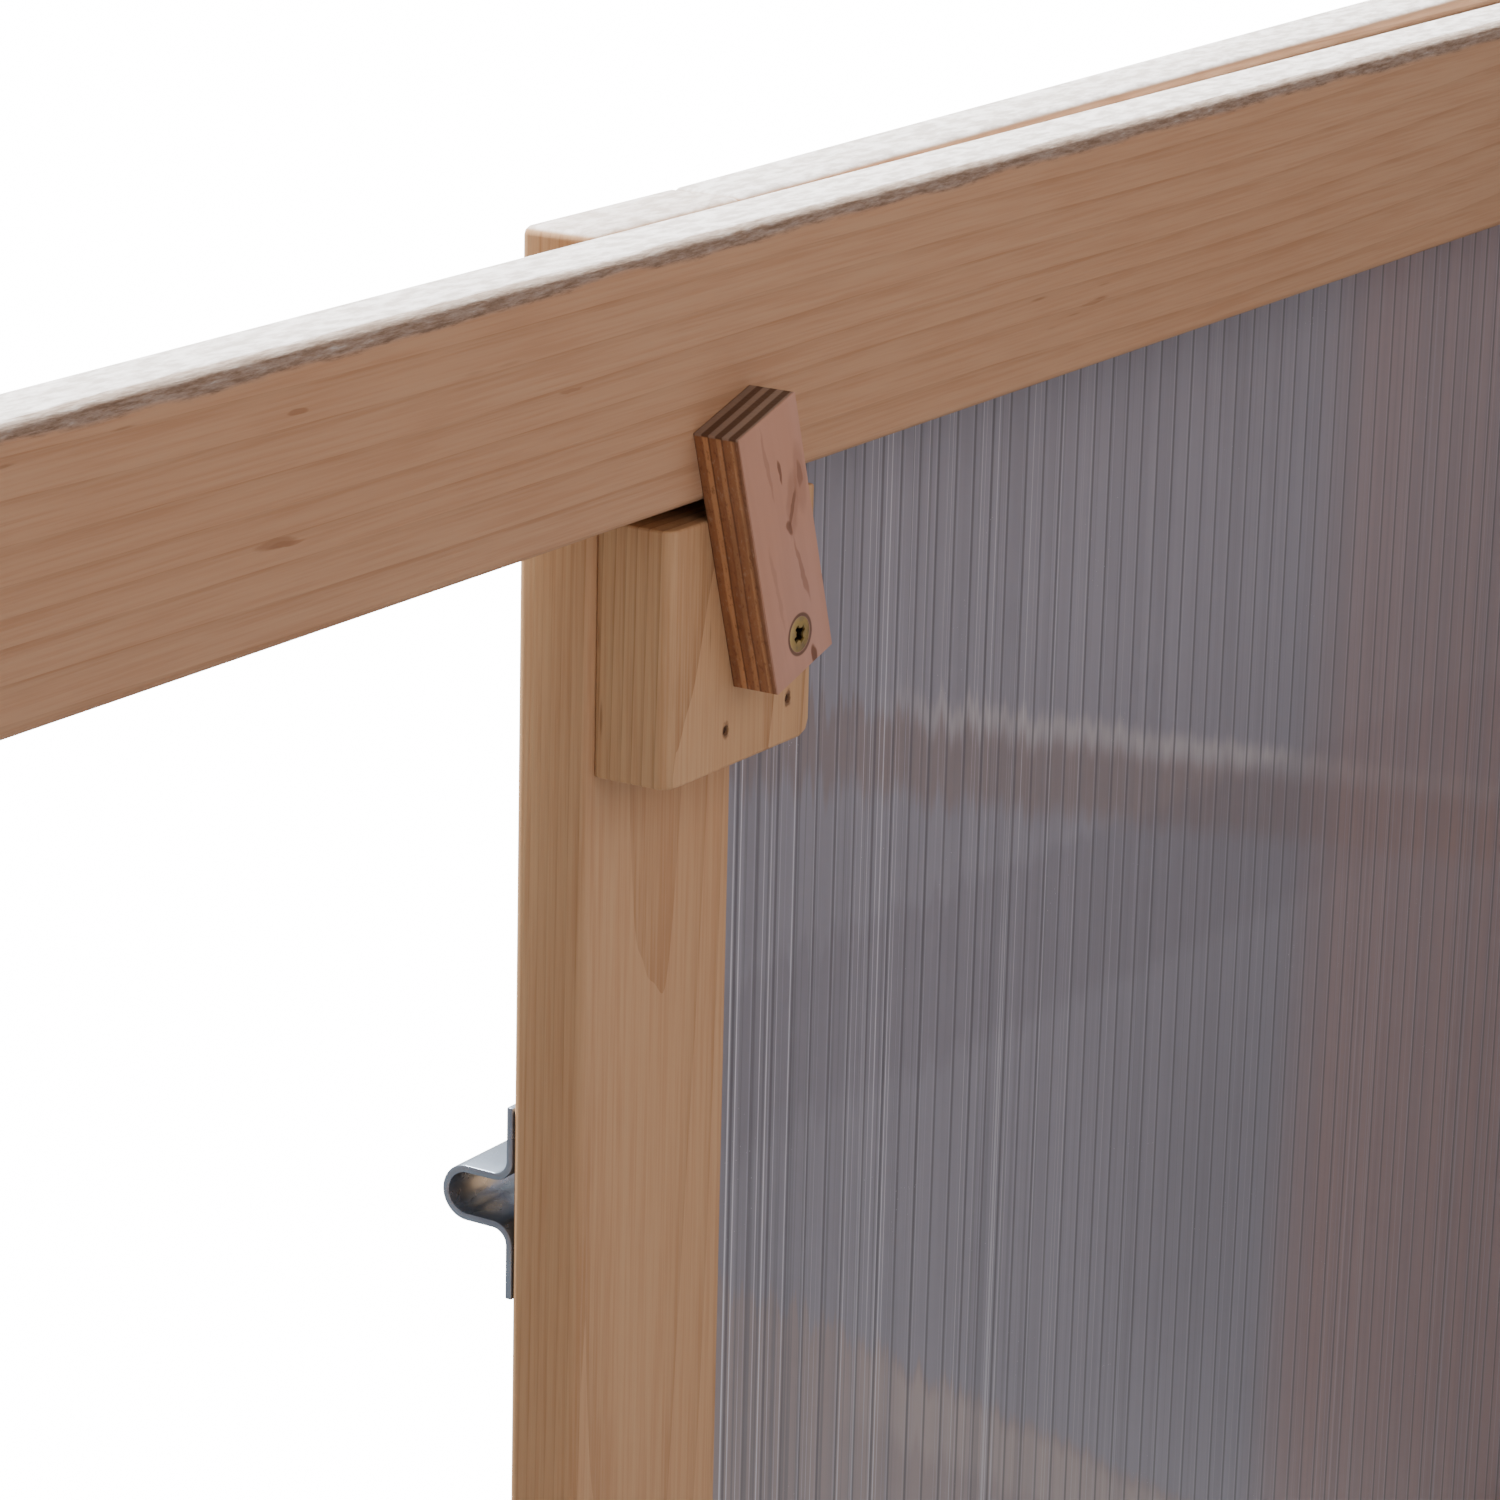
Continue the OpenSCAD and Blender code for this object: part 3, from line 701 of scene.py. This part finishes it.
class COLDFRAME_OT_block(bpy.types.Operator):
    """Block under the lintel, one edge well rounded and a corner cut, with its brads"""

    bl_idname = "coldframe.block"
    bl_label = "Button block"

    def execute(self, context):
        s = context.scene.coldframe_fittings
        piece = copy_of("button_block", "button_block_wood")
        low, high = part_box("button_block")
        ends = piece.data
        for corner, way, offset, segments in ((high, 1, 2.4, 6), (low, 2, 3, 2)):
            choose(piece, "edges", lambda edge: all(
                abs(ends.vertices[i].co[a] - corner[a]) < SAME_PLACE
                for i in edge.vertices for a in (0, way)))
            bpy.ops.mesh.bevel(offset=offset * MM, segments=segments, affect="EDGES")
            bpy.ops.object.mode_set(mode="OBJECT")
        ease(0.7 * MM)
        # Dark spots painted around the brad dents as shade.
        dent_shade = [(x * MM, z * MM, s.brad * 1.3) for x, z in BRADS]
        for x, z in BRADS:
            bpy.ops.mesh.primitive_cone_add(
                vertices=14, radius1=s.brad * 0.8, radius2=s.brad * 1.5, depth=1.6 * MM,
                location=(x * MM, high.y, z * MM), rotation=(math.radians(-90), 0, 0))
            dent = bpy.context.active_object
            settle()
            pick(piece)
            finish_with("BOOLEAN", operation="DIFFERENCE", object=dent, solver="EXACT")
            bpy.data.objects.remove(dent)
        pick(piece)
        bpy.ops.object.shade_smooth_by_angle(angle=SMOOTH_ANGLE)
        dress(piece, pine("block_pine", centre_of("button_block"), Z_AXIS, 7, gold=0.45,
                          pith=(3, 0.15), tight=0.56, bold=1.15, dent_shade=dent_shade),
              "button_block")
        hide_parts("button_block")
        brads = []
        for x, z in BRADS:
            bpy.ops.mesh.primitive_cylinder_add(
                vertices=14, radius=s.brad * 0.85, depth=1.0 * MM,
                location=(x * MM, high.y - 0.95 * MM, z * MM),
                rotation=(math.radians(-90), 0, 0))
            brad = bpy.context.active_object
            choose(brad, "polygons", lambda face: face.normal.z > 0.9)
            bpy.ops.mesh.inset(thickness=0.16 * MM, depth=-0.12 * MM)
            bpy.ops.object.mode_set(mode="OBJECT")
            settle()
            brads.append(brad)
        pick(*brads)
        bpy.ops.object.join()
        joined = bpy.context.active_object
        joined.name = "block_brads"
        dress(joined, plated("rusty_brad", (0.10, 0.055, 0.035), 0.55), "button_screw",
              "frame")
        return {"FINISHED"}


class COLDFRAME_OT_button(bpy.types.Operator):
    """Plywood turn button"""

    bl_idname = "coldframe.button"
    bl_label = "Turn button"

    def execute(self, context):
        low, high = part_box("turn_button")
        piece = copy_of("turn_button", "turn_button_ply")
        ease(0.45 * MM, 2)
        pivot = Vector(JOINTS["button_turn"]["pos_m"])
        dress(piece, plywood("button_ply", pivot, low.y, high.y - low.y, BUTTON_TIP,
                             BUTTON_LEAN), "turn_button")
        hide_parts("turn_button")
        return {"FINISHED"}


def cross_screw(name, radius, depth, recess):
    """A countersunk screw with a cross recess, head up at the origin, shank down."""
    bpy.ops.mesh.primitive_cylinder_add(vertices=40, radius=radius, depth=depth,
                                        location=(0, 0, -depth / 2))
    screw = bpy.context.active_object
    screw.name = name
    choose(screw, "polygons", lambda face: face.normal.z < -0.9)
    bpy.ops.transform.resize(value=(0.62, 0.62, 1))
    choose(screw, "polygons", lambda face: face.normal.z > 0.9)
    bpy.ops.mesh.inset(thickness=radius * 0.10)
    bpy.ops.transform.translate(value=(0, 0, radius * 0.035))
    bpy.ops.object.mode_set(mode="OBJECT")
    settle()
    cutters = []
    for turn, length, width in ((0, 1.16, 0.36), (90, 1.16, 0.36), (45, 0.80, 0.14),
                                (135, 0.80, 0.14)):
        bpy.ops.mesh.primitive_cube_add(size=1, location=(0, 0, 0))
        cutter = bpy.context.active_object
        cutter.scale = (radius * length, radius * width, recess * 2)
        settle()
        choose(cutter, "polygons", lambda face: face.normal.z < -0.9)
        bpy.ops.transform.resize(value=(0.72, 0.85, 1))
        bpy.ops.object.mode_set(mode="OBJECT")
        settle(Matrix.Rotation(math.radians(turn + 36), 4, "Z"))
        cutters.append(cutter)
    for cutter in cutters:
        pick(screw)
        finish_with("BOOLEAN", operation="DIFFERENCE", object=cutter, solver="EXACT")
        bpy.data.objects.remove(cutter)
    pick(screw)
    bpy.ops.object.shade_smooth_by_angle(angle=CRISP_ANGLE)
    return screw


class COLDFRAME_OT_screw(bpy.types.Operator):
    """Countersunk cross-recess screw that the button turns on"""

    bl_idname = "coldframe.screw"
    bl_label = "Button screw"

    def execute(self, context):
        s = context.scene.coldframe_fittings
        x, _, z = JOINTS["button_turn"]["pos_m"]
        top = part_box("turn_button")[1].y
        screw = cross_screw("button_screw_cross", s.head, 1.25 * MM, 1.1 * MM)
        bpy.ops.mesh.primitive_cylinder_add(vertices=24, radius=1.7 * MM, depth=17 * MM,
                                            location=(0, 0, -9.6 * MM))
        settle()
        bpy.ops.object.mode_set(mode="EDIT")
        bpy.ops.mesh.bevel(offset=0.3 * MM, segments=2)
        bpy.ops.object.mode_set(mode="OBJECT")
        pick(bpy.context.active_object, screw)
        bpy.ops.object.join()
        settle(Matrix.Translation((x, top - 0.15 * MM, z))
               @ Matrix.Rotation(math.radians(-90), 4, "X"))
        # The yellow zinc is painted near black below a level just under the head's face, as shade in the cross
        # recess.
        dress(screw, plated("yellow_zinc", (0.66, 0.47, 0.17), 0.30,
                            warm=(0.40, 0.30, 0.15), recess=top - 0.20 * MM),
              "button_screw")
        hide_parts("button_screw")
        return {"FINISHED"}


class COLDFRAME_OT_bolt(bpy.types.Operator):
    """Keeper strap, bolt plate and sliding bolt"""

    bl_idname = "coldframe.bolt"
    bl_label = "Bolt and keeper"

    def execute(self, context):
        s = context.scene.coldframe_fittings
        zinc = plated("bright_zinc", s.zinc, 0.22)
        for node in ("keeper", "bolt_plate", "bolt_rod"):
            piece = copy_of(node, node + "_steel")
            ease(0.3 * MM if node != "bolt_rod" else 0.6 * MM, 2, 50)
            dress(piece, zinc, node)
            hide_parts(node)
        return {"FINISHED"}


class COLDFRAME_OT_hinges(bpy.types.Operator):
    """Hinge halves with their screws, and the screws of the bolt's plates"""

    bl_idname = "coldframe.hinges"
    bl_label = "Hinges and screws"

    def spots(self):
        """Where a small screw sits: its body, its stance, its place and its way out."""
        spread = 17 * MM
        for node in HINGES:
            turn = stance(node) if node.endswith("_moving") else Matrix.Identity(4)
            low, high = lying_box(node, turn)
            mid = (low + high) / 2
            moving = node.endswith("_moving")
            if node.startswith("lid"):
                out = Y_AXIS
                level = low.y + SCREW_LEVEL
                height = high.z - SCREW_MARGIN if moving else low.z + SCREW_MARGIN
                for dx in (-spread, spread):
                    yield BODY_OF[node], turn, Vector((mid.x + dx, level, height)), out
            else:
                side = 1 if mid.x > 0 else -1
                out = X_AXIS * side
                level = (low.x if side > 0 else high.x) + side * SCREW_LEVEL
                depth = low.y + SCREW_MARGIN if moving else high.y - SCREW_MARGIN
                for dz in (-spread, spread):
                    yield BODY_OF[node], turn, Vector((level, depth, mid.z + dz)), out
        low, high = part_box("keeper")
        for z in (low.z + 4 * MM, high.z - 4 * MM):
            yield "frame", Matrix.Identity(4), Vector(
                ((low.x + high.x) / 2, high.y - SCREW_LEVEL, z)), -Y_AXIS
        low, high = lying_box("bolt_plate")
        for x in (low.x + 18 * MM, high.x - 18 * MM):
            for z in (low.z + 4 * MM, high.z - 4 * MM):
                yield "door", stance("bolt_plate"), Vector(
                    (x, high.y - SCREW_LEVEL, z)), -Y_AXIS

    def execute(self, context):
        s = context.scene.coldframe_fittings
        steel = plated("hinge_zinc", tinted(s.zinc, 0.92), 0.26)
        for node in HINGES:
            piece = copy_of(node, node + "_steel")
            ease(0.3 * MM, 2, 50)
            dress(piece, steel, node)
            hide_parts(node)
        first = cross_screw("small_screw", s.small_head, 0.5 * MM, 0.3 * MM)
        groups = {}
        for body, turn, place, out in self.spots():
            copy = bpy.data.objects.new("small_screw_copy", first.data.copy())
            context.scene.collection.objects.link(copy)
            pick(copy)
            facing = out.to_track_quat("Z", "Y").to_matrix().to_4x4()
            settle(turn @ Matrix.Translation(place + out * 0.12 * MM) @ facing)
            groups.setdefault(body, []).append(copy)
        bpy.data.objects.remove(first)
        node_of = {"frame": "keeper", "door": "bolt_plate"}
        for body, copies in groups.items():
            pick(*copies)
            bpy.ops.object.join()
            joined = bpy.context.active_object
            joined.name = body + "_small_screws"
            dress(joined, steel, node_of.get(body, "keeper"), body)
        return {"FINISHED"}


class COLDFRAME_OT_sheets(bpy.types.Operator):
    """Twin-wall sheets with skins that sink a little between their ribs"""

    bl_idname = "coldframe.sheets"
    bl_label = "Twin-wall sheets"

    def execute(self, context):
        s = context.scene.coldframe_sheets
        for i, node in enumerate(SHEETS):
            low, high = lying_box(node)
            size = high - low
            thin = min(range(3), key=lambda a: size[a])
            long_way = 1 if node.startswith("lid") else 2
            wide = 3 - thin - long_way
            axes = [X_AXIS, Y_AXIS, Z_AXIS]
            cells = round(size[wide] / s.pitch)
            columns = cells * 8
            bpy.ops.mesh.primitive_grid_add(x_subdivisions=columns, y_subdivisions=1,
                                            size=1)
            piece = context.active_object
            piece.name = node + "_ribbed"
            depth = size[thin]
            for v in piece.data.vertices:
                part = (v.co.x + 0.5) * size[wide] / s.pitch
                v.co.z = -s.sink * (0.5 - 0.5 * math.cos(2 * math.pi * part))
                v.co.x *= size[wide]
                v.co.y *= size[long_way]
            finish_with("SOLIDIFY", thickness=depth - 2 * s.sink, offset=0,
                        use_even_offset=False)
            if node.startswith("side"):
                fall = RAIL_RISE.z / RAIL_RISE.y
                for v in piece.data.vertices:
                    if v.co.y > 0:
                        v.co.y -= (size[wide] / 2 - v.co.x) * fall
            across, along = axes[wide], axes[long_way]
            out = across.cross(along)
            basis = Matrix((across, along, out)).transposed().to_4x4()
            middle = Matrix.Translation((low + high) / 2)
            turn = stance(node)
            settle(turn @ middle @ basis)
            bpy.ops.object.shade_smooth_by_angle(angle=CRISP_ANGLE)
            spin = turn.to_3x3()
            dress(piece, twin_wall(node + "_clear", centre_of(node), spin @ across,
                                   spin @ along, i, SEEN_THROUGH_BANDS.get(node, ())), node)
            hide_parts(node)
        return {"FINISHED"}


class COLDFRAME_OT_stage(bpy.types.Operator):
    """Floor, light and camera"""

    bl_idname = "coldframe.stage"
    bl_label = "Floor, light and camera"

    def execute(self, context):
        s = context.scene.coldframe_stage
        bpy.ops.object.select_all(action="DESELECT")
        bpy.ops.mesh.primitive_plane_add(size=FLOOR_SIZE)
        floor = context.active_object
        floor.name = "floor"
        floor.visible_diffuse = False
        floor.visible_glossy = False
        f = Finish("pale_floor")
        f.set(Base_Color=f.mix(f.noise(f.point, (3, 3, 3), 2.0), (0.86, 0.86, 0.86),
                               (0.90, 0.90, 0.90)), Roughness=0.9,
              Specular_IOR_Level=0.0, Emission_Color=(1, 1, 1, 1), Emission_Strength=FLOOR_GLOW)
        floor.data.materials.append(f.material)
        world = bpy.data.worlds.new("even_light")
        world.use_nodes = True
        fill = world.node_tree.nodes["Background"]
        fill.inputs["Color"].default_value = (0.96, 0.98, 1.0, 1)
        fill.inputs["Strength"].default_value = s.sky
        context.scene.world = world
        bpy.ops.object.light_add(type="SUN", location=(0, 0, 3), rotation=SUN_TURN)
        sun = context.active_object
        sun.data.energy = s.sun
        sun.data.angle = SUN_WIDTH
        ahead = Vector((-math.sin(s.heading) * math.cos(s.dip),
                        -math.cos(s.heading) * math.cos(s.dip), -math.sin(s.dip)))
        right = Vector((-math.cos(s.heading), math.sin(s.heading), 0))
        up = right.cross(ahead)
        level = Matrix((right, up, -ahead)).transposed()
        bpy.ops.object.camera_add()
        camera = context.active_object
        camera.name = "view"
        camera.data.lens = s.lens
        camera.data.sensor_width = 36
        camera.data.clip_start = 0.02
        camera.data.clip_end = FLOOR_SIZE
        camera.matrix_world = Matrix.Translation(CAMERA_PLACE) @ (
            level @ Matrix.Rotation(s.roll, 3, "Z")).to_4x4()
        context.scene.camera = camera
        return {"FINISHED"}


class COLDFRAME_PT_panel(bpy.types.Panel):
    """Lists the pieces and their settings"""

    bl_idname = "COLDFRAME_PT_panel"
    bl_label = "Cold frame"
    bl_space_type = "VIEW_3D"
    bl_region_type = "UI"
    bl_category = "Cold frame"

    def draw(self, context):
        for title, group in GROUPS.items():
            box = self.layout.box()
            box.label(text=title[10:].title())
            for name in group.__annotations__:
                box.prop(getattr(context.scene, title), name)
        for operator in OPERATORS:
            self.layout.operator(operator.bl_idname)


GROUPS = {
    "coldframe_laths": LathSettings,
    "coldframe_sheets": SheetSettings,
    "coldframe_fittings": FittingSettings,
    "coldframe_stage": StageSettings,
}
OPERATORS = [COLDFRAME_OT_stage, COLDFRAME_OT_laths, COLDFRAME_OT_block,
             COLDFRAME_OT_button, COLDFRAME_OT_screw, COLDFRAME_OT_bolt,
             COLDFRAME_OT_hinges, COLDFRAME_OT_sheets]


def register():
    for cls in (*GROUPS.values(), *OPERATORS, COLDFRAME_PT_panel):
        bpy.utils.register_class(cls)
    for name, group in GROUPS.items():
        setattr(bpy.types.Scene, name, bpy.props.PointerProperty(type=group))


def unregister():
    for name in GROUPS:
        delattr(bpy.types.Scene, name)
    for cls in (COLDFRAME_PT_panel, *reversed(OPERATORS), *reversed(GROUPS.values())):
        bpy.utils.unregister_class(cls)


def main():
    register()
    for operator in OPERATORS:
        getattr(bpy.ops.coldframe, operator.bl_idname.split(".")[1])()


if __name__ == "__main__":
    main()
